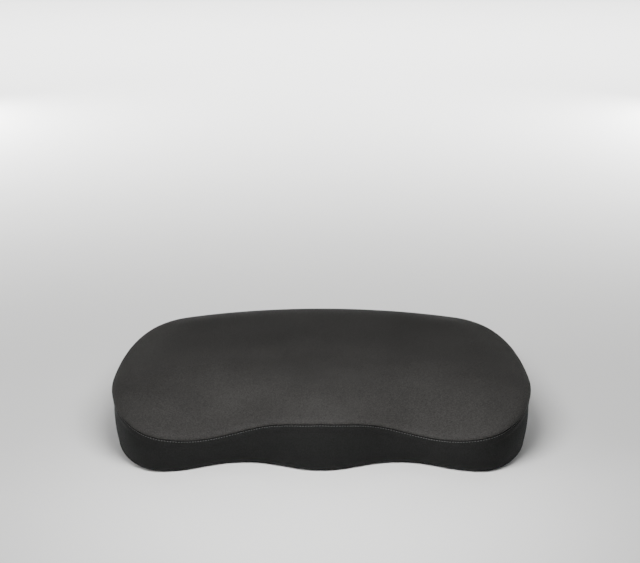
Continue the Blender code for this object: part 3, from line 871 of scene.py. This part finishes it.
def build_grip_dots():
    """Rubber dots on the base fabric, in staggered rows, flat where they touch the seat."""
    spots = []
    for row in range(int(DEPTH / ROW_PITCH) + 1):
        y = -DEPTH / 2 + (row + 0.5) * ROW_PITCH
        for column in range(int(WIDTH / DOT_PITCH) + 2):
            x = -WIDTH / 2 + (column + 0.5 * (row % 2)) * DOT_PITCH
            spots.append((x, y))
    spots = np.array(spots)
    angles = np.arctan2(OUTLINE.points[:, 1], OUTLINE.points[:, 0])
    order = np.argsort(angles)
    reach = np.linalg.norm(OUTLINE.points, axis=1)[order]
    inside = np.hypot(*spots.T) < np.interp(
        np.arctan2(spots[:, 1], spots[:, 0]), angles[order], reach, period=2 * math.pi
    )
    spots = spots[inside]
    spots = spots[edge_distance(spots) > DOT_MARGIN]
    size, height = np.array(DOT_LEVELS).T
    middle = np.pad(height[:, None], ((0, 0), (2, 0)))
    size = size[:, None] * DOT_RADIUS
    shape = rings_round(middle, size * (1, 0, 0), size * (0, 1, 0), DOT_SIDES)
    copies = shape + np.pad(spots, ((0, 0), (0, 1)))[:, None, None]
    rides(add_piece("grip_dots", copies_mesh("grip_dots", copies), RUBBER), "root", "grip_base")


# ---- stitching


def stitches(name, line, out, thread, pitch=STITCH_PITCH, fill=0.72, radius=THREAD_RADIUS):
    """A piece of separate stitches along a line of points, with out pointing off the cloth."""
    lengths = lengths_along(line)
    count = int(lengths[-1] / pitch)
    stations = np.linspace(0, 1, 6)
    at = (np.arange(count)[:, None] + 0.5 + (stations - 0.5) * fill) * lengths[-1] / count

    def follow(values):
        return np.stack([np.interp(at, lengths, values[:, k]) for k in range(3)], -1)

    middle, up = follow(line), unit(follow(out))
    side = np.cross(unit(np.gradient(middle, axis=1)), up)
    rise = np.sin(np.pi * stations) ** 0.6
    middle = middle + up * (radius * (1.1 * rise - 0.9))[None, :, None]
    size = radius * (0.55 + 0.45 * rise)[:, None]
    rings = rings_round(middle, up * size, side * size, 6)
    copies = np.array([capped(*each) for each in zip(rings, middle)])
    return add_piece(name, copies_mesh(name, copies), thread)


def outward(columns):
    return np.pad(-OUTLINE.inward[columns], ((0, 0), (0, 1)))


def build_stitching(shift):
    around = np.append(ALL, 0)
    height = OUTLINE.seam - CREASE_DEPTH - SEAM_THREAD_DROP
    line = shift(OUTLINE.at(-SEAM_THREAD_OUT, height))[around]
    out = outward(around)
    seam = stitches("top_seam_thread", line, out, THREAD, fill=0.86, radius=SEAM_THREAD_RADIUS)
    gives(seam, "top_knit")

    line = OUTLINE.at(OUTLINE.foot + BOTTOM_ROUNDING + LIP * 0.55, BASE_THREAD_HEIGHT)[around]
    down = np.tile([0.0, 0.0, -1.0], (len(line), 1))
    rides(stitches("base_seam_thread", line, down, ZIP_THREAD), "root", "band_fabric")

    away = ZIP_SLOT / 2 + FABRIC + TOPSTITCH_AT
    inner = REAR[3:-3]
    for name, side in SIDES.items():
        line = OUTLINE.at(0.22 * MM, ZIP_HEIGHT + side * away, inner)
        piece = stitches(f"zip_topstitch_{name}", line, outward(inner), ZIP_THREAD)
        rides(piece, "root", "band_fabric")


# ---- zip


def arc_points(angles, inset, height):
    plan = on_rear_arc(angles, inset)
    return np.column_stack([plan, np.broadcast_to(height, len(plan))])


def arc_bar(name, surface, half_angle, section, centre=0.0, steps=120):
    """A bar along the rear arc with a closed section of (inset, height) points."""
    angles = centre + np.linspace(half_angle, -half_angle, steps + 1)
    rows = np.stack([arc_points(angles, inset, height) for inset, height in section], 1)
    rows = capped(rows, rows.mean(1))
    across = np.cumsum(np.linalg.norm(np.diff(section, axis=0, prepend=section[-1:]), axis=1))
    along = np.concatenate([[angles[0]], angles, [angles[-1]]]) * REAR_ARC_RADIUS
    weave = np.stack(np.broadcast_arrays(along[:, None], across[None]), -1)
    mesh = ring_mesh(name, rows, weave)
    mesh.set_sharp_from_angle(angle=math.radians(50))
    return add_piece(name, mesh, surface)


def bar_section(inset, thickness, low, high, corner):
    """A rectangle with round corners in (inset, height)."""
    deep = inset + thickness
    return rounded(((deep, high), (inset, high), (inset, low), (deep, low)), corner, 3)


COIL_PITCH = 0.00125
COIL_WIRE = 0.00030
COIL_HEAD = 0.00034
TAPE_EDGE = 0.00028  # from the zip's middle, clear of the slider's post
COIL_STEPS = 10
COIL_END_ANGLE = 0.002
COIL_STITCH_PITCH = 0.0022
COIL_TO_STITCH = 0.0005
STOP_PAST_COIL = 0.0008
STOP_HALF_LENGTH = 0.0015
STOP_GAP = 0.0003


def coil_mesh(name, side):
    """One nylon spiral, its loops flattened to the coil's section, heads at the zip's middle."""
    turns = int(2 * COIL_HALF_ANGLE * REAR_ARC_RADIUS / COIL_PITCH) - 1
    count = turns * COIL_STEPS + 1
    phase = np.arange(count) * 2 * math.pi / COIL_STEPS + (math.pi if side < 0 else 0)
    angles = np.linspace(COIL_HALF_ANGLE - COIL_END_ANGLE, -COIL_HALF_ANGLE + COIL_END_ANGLE, count)
    outer = COIL_GAP / 2 + COIL_WIDTH
    half_width = (outer - COIL_HEAD) / 2 - COIL_WIRE
    half_depth = COIL_THICKNESS / 2 - COIL_WIRE
    height = ZIP_HEIGHT + side * ((outer + COIL_HEAD) / 2 + half_width * np.cos(phase))
    inset = COIL_INSET + COIL_THICKNESS / 2 + half_depth * np.sin(phase)
    plan = on_rear_arc(angles, inset)
    line = np.column_stack([plan, height])
    ahead = unit(np.gradient(line, axis=0))
    tangent = np.column_stack([np.cos(angles), -np.sin(angles), np.zeros(count)])
    first = COIL_WIRE * unit(np.cross(ahead, tangent))
    rings = rings_round(line, first, np.cross(ahead, first), 6)
    return ring_mesh(name, capped(rings, line))


def build_zip():
    for name, side in SIDES.items():
        low, high = sorted((ZIP_HEIGHT + side * TAPE_EDGE, ZIP_HEIGHT + side * TAPE_WIDTH))
        section = bar_section(TAPE_INSET, TAPE_THICKNESS, low, high, 0.15 * MM)
        tape = arc_bar(f"zipper_tape_{name}", TAPE, TAPE_HALF_ANGLE, section)
        rides(tape, "root", "zip_tape", f"zip_tape_{name}")
        coil = add_piece(f"zipper_coil_{name}", coil_mesh(f"zipper_coil_{name}", side), NYLON)
        rides(coil, "root", "zip_coil", f"zip_coil_{name}")
        angles = np.linspace(COIL_HALF_ANGLE, -COIL_HALF_ANGLE, 160)
        height = ZIP_HEIGHT + side * (COIL_GAP / 2 + COIL_WIDTH + COIL_TO_STITCH)
        line = arc_points(angles, TAPE_INSET, height)
        out = np.column_stack([np.sin(angles), np.cos(angles), 0 * angles])
        name = f"coil_stitching_{name}"
        thread = stitches(name, line, out, ZIP_THREAD, COIL_STITCH_PITCH, 0.8, 0.15 * MM)
        rides(thread, "root", "zip_tape")
    half_height = COIL_GAP / 2 + COIL_WIDTH + STOP_PAST_COIL
    half_angle = STOP_HALF_LENGTH / REAR_ARC_RADIUS
    away = COIL_HALF_ANGLE + STOP_GAP / REAR_ARC_RADIUS + half_angle
    low, high = ZIP_HEIGHT - half_height, ZIP_HEIGHT + half_height
    section = bar_section(COIL_INSET, COIL_THICKNESS, low, high, 0.4 * MM)
    for name, angle in (("closed_end", away), ("open_end", -away)):
        stop = arc_bar(f"zipper_stop_{name}", METAL, half_angle, section, angle, steps=4)
        rides(stop, "root", "zip_metal", f"zip_stop_{name}")


def slider_place():
    """From the slider's own axes (x along the zip, y out of it, z up) to the world's."""
    turn = Matrix.Rotation(-SLIDER_ANGLE, 4, "Z")
    out = Matrix.Translation((0.0, REAR_ARC_RADIUS, 0.0))
    return Matrix.Translation((0.0, ARC_CENTRE_Y, ZIP_HEIGHT)) @ turn @ out


def plate(outline, low, high, bevel, dish=0.0, rim=0.0):
    """A bevelled plate in x and z between two y levels, its face dished inside a rim."""
    shape = bmesh.new()
    face = shape.faces.new([shape.verts.new((x, low, z)) for x, z in outline])
    top = bmesh.ops.extrude_face_region(shape, geom=[face])
    moved = [item for item in top["geom"] if isinstance(item, bmesh.types.BMVert)]
    bmesh.ops.translate(shape, verts=moved, vec=(0, high - low, 0))
    bmesh.ops.recalc_face_normals(shape, faces=shape.faces)
    edges = [e for e in shape.edges if abs(e.verts[0].co.y - e.verts[1].co.y) < 1e-9]
    bmesh.ops.bevel(shape, geom=edges, offset=bevel, segments=2, profile=0.5, affect="EDGES")
    if dish:
        caps = [f for f in shape.faces if abs(f.normal.y) > 0.99]
        caps = sorted(caps, key=lambda f: -f.calc_area())[:2]
        bmesh.ops.inset_individual(shape, faces=caps, thickness=rim, depth=0.0)
        bmesh.ops.inset_individual(shape, faces=caps, thickness=abs(dish), depth=-dish)
    mesh = bpy.data.meshes.new("plate")
    shape.to_mesh(mesh)
    shape.free()
    return mesh


def joined(name, meshes, place):
    """One mesh from several, moved into place."""
    shape = bmesh.new()
    for mesh in meshes:
        shape.from_mesh(mesh)
    bmesh.ops.remove_doubles(shape, verts=shape.verts, dist=1e-7)
    bmesh.ops.recalc_face_normals(shape, faces=shape.faces)
    made = bpy.data.meshes.new(name)
    shape.to_mesh(made)
    shape.free()
    made.transform(place)
    made.shade_smooth()
    made.set_sharp_from_angle(angle=math.radians(40))
    return made


def rod_mesh(points, radius, closed=False, flat=1.0):
    """A round or flattened rod through points."""
    points = np.array(points, float)
    round_trip = np.roll(points, -1, 0) - np.roll(points, 1, 0)
    ahead = unit(round_trip if closed else np.gradient(points, axis=0))
    flat_rod = np.ptp(points[:, 2]) < 1e-9
    guide = np.broadcast_to((0.0, 0.0, 1.0) if flat_rod else (0.0, 1.0, 0.0), ahead.shape)
    rings = rings_round(points, radius * flat * guide, radius * np.cross(ahead, guide), 10)
    return ring_mesh("rod", np.concatenate([rings, rings[:1]]) if closed else capped(rings, points))


def round_box(x0, x1, y0, y1, z0, z1):
    return plate([(x1, z0), (x1, z1), (x0, z1), (x0, z0)], y0, y1, 0.12 * MM)


SLIDER_TAPER = 0.0009
SLIDER_CORNER = 0.0016
BRIDGE_HALF_LENGTH = 0.0031
BRIDGE_ROOM = 0.0007
FLANGE_FROM_END = 0.0016
FLANGE_DEPTH = 0.0016
FLANGE_THICKNESS = 0.00105
FLANGE_FROM_SIDE = 0.00015
POST_HALF_WIDTH = 0.00022


def build_slider():
    """Two plates on a post, flanges that hold the tapes, and a bridge for the pull."""
    half = SLIDER_LENGTH / 2
    side = SLIDER_WIDTH / 2
    tail = side - SLIDER_TAPER
    inner = -INNER_PLATE_INSET
    corners = ((half, side), (-half, tail), (-half, -tail), (half, -side))
    outline = rounded(corners, SLIDER_CORNER, 5)
    rise = 2 * (PULL_WIRE_RADIUS + PULL_CLEARANCE) + BRIDGE_ROOM
    bridge = [(-BRIDGE_HALF_LENGTH, SLIDER_PLATE / 2, 0.0)]
    for step in range(17):
        angle = math.pi * step / 16
        height = SLIDER_PLATE + rise * math.sin(angle) ** 0.6
        bridge.append((-BRIDGE_HALF_LENGTH * math.cos(angle), height, 0.0))
    bridge.append((BRIDGE_HALF_LENGTH, SLIDER_PLATE / 2, 0.0))
    post = (half - 3 * MM, half - 0.3 * MM, inner - 0.5 * MM, 0.5 * MM)
    flange = (FLANGE_FROM_END - half, half - FLANGE_FROM_END, -FLANGE_DEPTH, SLIDER_PLATE / 2)
    far = side - FLANGE_FROM_SIDE
    near = far - FLANGE_THICKNESS
    meshes = [
        plate(outline, 0.0, SLIDER_PLATE, 0.25 * MM, 0.12 * MM, 0.5 * MM),
        plate(outline, inner - SLIDER_PLATE, inner, 0.25 * MM),
        rod_mesh(bridge, 0.6 * MM, flat=1.6),
        round_box(*post, -POST_HALF_WIDTH, POST_HALF_WIDTH),
        round_box(*flange, near, far),
        round_box(*flange, -far, -near),
    ]
    slider = add_piece("zipper_slider", joined("zipper_slider", meshes, slider_place()), METAL)
    rides(slider, "slider", "zip_metal", "zip_slider")


def build_pull():
    """The wire eye through the bridge and the tab that lies along the zip."""
    half = PULL_EYE_WIDTH / 2
    corners = ((0, half), (-PULL_EYE_LENGTH, half), (-PULL_EYE_LENGTH, -half), (0, -half))
    eye = [(x, 0.0, z) for x, z in rounded(corners, 0.9 * MM, 4)]
    start = -PULL_EYE_LENGTH + PULL_WIRE_RADIUS / 2
    wide = PULL_WIDTH / 2
    neck = half - 0.2 * MM
    far = start - PULL_LENGTH + wide
    tab = [(start, -neck), (start, neck), (start - wide, wide)]
    for step in range(17):
        angle = math.pi / 2 + math.pi * step / 16
        tab.append((far + wide * math.cos(angle), wide * math.sin(angle)))
    tab.append((start - wide, -wide))
    meshes = [
        rod_mesh(eye, PULL_WIRE_RADIUS, closed=True),
        plate(tab, -PULL_THICKNESS / 2, PULL_THICKNESS / 2, 0.2 * MM, 0.15 * MM, 0.7 * MM),
    ]
    out = SLIDER_PLATE + PULL_CLEARANCE + PULL_WIRE_RADIUS
    place = slider_place() @ Matrix.Translation((0.0, out, 0.0))
    pull = add_piece("zipper_pull", joined("zipper_pull", meshes, place), METAL)
    rides(pull, "pull_tab", "zip_metal", "zip_pull")


LABEL_HALF_LENGTH = 0.017
LABEL_ANGLE = math.radians(-6)


def build_label():
    low, high = (corner.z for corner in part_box("care_label"))
    inset = TAPE_INSET + TAPE_THICKNESS + 0.3 * MM
    section = bar_section(inset, 0.4 * MM, low, high, 0.15 * MM)
    half_angle = LABEL_HALF_LENGTH / REAR_ARC_RADIUS
    label = arc_bar("blank_care_label", SATIN, half_angle, section, LABEL_ANGLE, steps=30)
    rides(label, "root", "label_satin", "care_label")


# ---- liner and foam

LAYER_PITCH = 0.006
ZIP_ROOM = 0.0035
LINER = 0.0006
LINER_INSET = 0.0020
LINER_DEPTH = 0.0024  # under the seat
FOAM_INSET = 0.0032
MEMORY_DEPTH = 0.0036
MEMORY_THICKNESS = 0.018
LAYER_GAP = 0.0004
SHARES = (0.97, 0.93, 0.88, 0.8, 0.7, 0.58, 0.45, 0.3, 0.15, 0.0)


def inner_ring(outline, inset, height):
    """A ring of the band's inside, with room behind the zip."""
    columns = np.arange(outline.count)
    back = ZIP_ROOM * (1 - outline.slack)
    move = wall_inset(outline, np.broadcast_to(height, outline.count), columns) + inset + back
    return outline.at(move, height)


def seat_ring(outline, inset, depth):
    """The ring where the inside of the band meets a depth under the seat."""
    ring = inner_ring(outline, inset, outline.seam - depth)
    ring[:, 2] = seat_height(ring[:, :2]) - depth
    return ring


def seat_rows(outline, inset, depth):
    """Rings under the seat at a depth, from the band's inside to the centre."""
    edge = seat_ring(outline, inset, depth)
    rows = [edge]
    for share in SHARES:
        plan = edge[:, :2] * share
        rows.append(np.column_stack([plan, seat_height(plan) - depth]))
    return rows


def tub(outline, inset, top, steps=7):
    """Rows from the centre of the floor, round the bottom edge, up to a height."""
    foot = outline.foot + ZIP_ROOM * (1 - outline.slack)
    radius = BOTTOM_ROUNDING - inset
    rows = []
    for share in (0, 0.2, 0.4, 0.6, 0.8, 0.95):
        rows.append(outline.at(foot + BOTTOM_ROUNDING, inset) * (share, share, 1))
    for cosine, sine in quarter_turn(5):
        move = foot + BOTTOM_ROUNDING - radius * sine
        rows.append(outline.at(move, BOTTOM_ROUNDING - radius * cosine))
    for share in np.linspace(0, 1, steps + 1)[1:]:
        height = BOTTOM_ROUNDING + (top - BOTTOM_ROUNDING) * share
        rows.append(inner_ring(outline, inset, height))
    return rows


def closed_layer(name, rows, surface):
    rows = np.array(rows)
    return add_piece(name, ring_mesh(name, rows, rows[..., :2]), surface)


def build_core():
    """The two halves of the liner and the two foams inside them."""
    outline = Outline(LAYER_PITCH)
    split = MEMORY_DEPTH + MEMORY_THICKNESS
    core_depth = split + LAYER_GAP

    rows = seat_rows(outline, LINER_INSET, LINER_DEPTH + LINER)[::-1]
    rows += seat_rows(outline, LINER_INSET, LINER_DEPTH)
    gives(closed_layer("liner_top", rows, LINER_KNIT), "liner_knit", "liner_upper")

    rows = seat_rows(outline, FOAM_INSET, split)[::-1]
    rows += seat_rows(outline, FOAM_INSET, MEMORY_DEPTH)
    memory = closed_layer("memory_foam_topper", rows, MEMORY)
    gives(memory, "memory_foam", "memory_foam_layer")

    top = seat_ring(outline, FOAM_INSET, core_depth)[:, 2]
    rows = tub(outline, FOAM_INSET, top)[:-1] + seat_rows(outline, FOAM_INSET, core_depth)
    core = closed_layer("support_foam_block", rows, SUPPORT)
    gives(core, "support_foam", "support_foam_core")

    top = seat_ring(outline, LINER_INSET, MEMORY_DEPTH + LAYER_GAP)[:, 2]
    rows = tub(outline, LINER_INSET, top, 12)
    liner = cloth_piece("liner_tub", rows, LINER_KNIT, around=True, thickness=LINER)
    gives(liner, "liner_knit", "liner_lower")


# ---- studio

CAMERA_AIM = Vector((0.0, -0.056, 0.035))
CAMERA_DISTANCE = 2.0
CAMERA_ELEVATION = math.radians(20)
CAMERA_TILT = math.radians(73.81)
CAMERA_LENS = 100.0
CAMERA_SHIFT = Vector((-0.0015, 0.0, 0.0))
FLOOR_HALF_SIZE = 12.0


def build_camera():
    data = bpy.data.cameras.new("camera")
    data.lens = CAMERA_LENS
    data.sensor_width = 36.0
    camera = new_object("camera", data)
    back = Vector((0.0, -math.cos(CAMERA_ELEVATION), math.sin(CAMERA_ELEVATION)))
    camera.location = CAMERA_AIM + back * CAMERA_DISTANCE + CAMERA_SHIFT
    camera.rotation_euler = (CAMERA_TILT, 0.0, 0.0)
    bpy.context.scene.camera = camera


def add_light(name, place, size, power, spread=180, down=False, glossy=True):
    """A soft light, unseen by the camera, aimed at the part or straight down."""
    data = bpy.data.lights.new(name, "AREA")
    data.shape = "RECTANGLE"
    data.size, data.size_y = size
    data.energy, data.spread = power, math.radians(spread)
    light = new_object(name, data)
    light.location = place
    light.visible_camera = False
    light.visible_glossy = glossy
    if not down:
        light.rotation_euler = (CAMERA_AIM - Vector(place)).to_track_quat("-Z", "Y").to_euler()


def build_studio():
    floor_nodes = Nodes("floor", (0.80, 0.80, 0.79), 0.7)
    shade = floor_nodes.noise(floor_nodes.object_place(), 3, 2)
    floor_nodes.tint(shade, (0.79, 0.79, 0.78), (0.81, 0.81, 0.80))
    corners = np.array([(-1, -1, 0), (1, -1, 0), (1, 1, 0), (-1, 1, 0)]) * FLOOR_HALF_SIZE
    mesh = mesh_from("floor", corners, np.array([[0, 1, 2, 3]]))
    floor = add_piece("floor", mesh, floor_nodes.material)
    world = bpy.data.worlds.new("studio")
    world.use_nodes = True
    background = world.node_tree.nodes["Background"]
    background.inputs["Color"].default_value = (0.95, 0.97, 1.0, 1.0)
    background.inputs["Strength"].default_value = 0.05
    bpy.context.scene.world = world
    add_light("key", (-0.01, -0.42, 0.46), (0.30, 0.16), 5.5)
    add_light("front", (-0.5, -2.2, 1.3), (1.2, 0.8), 10)
    add_light("left", (-1.7, -0.5, 0.8), (0.8, 0.8), 10)
    on_floor = {"spread": 80, "down": True}
    for name, side in (("left", -1), ("right", 1)):
        add_light(f"low_{name}", (side * 1.9, -0.1, 0.13), (1.0, 0.16), 9, glossy=False)
        add_light(f"low_rear_{name}", (side * 1.3, 1.6, 0.13), (1.0, 0.16), 80, glossy=False)
        add_light(f"floor_{name}", (side * 3.6, 0.0, 2.6), (3.0, 4.0), 200, **on_floor)
    add_light("floor_near", (0.0, -3.8, 2.6), (5.0, 3.0), 200, **on_floor)
    add_light("floor_far", (0.0, 2.9, 2.6), (5.0, 3.0), 260, **on_floor)


def main():
    shift = cover_shift()
    build_cover(shift)
    build_zip_bands()
    build_base()
    build_grip_dots()
    build_stitching(shift)
    build_zip()
    build_slider()
    build_pull()
    build_label()
    build_core()
    build_camera()
    build_studio()
    bpy.context.view_layer.update()


main()
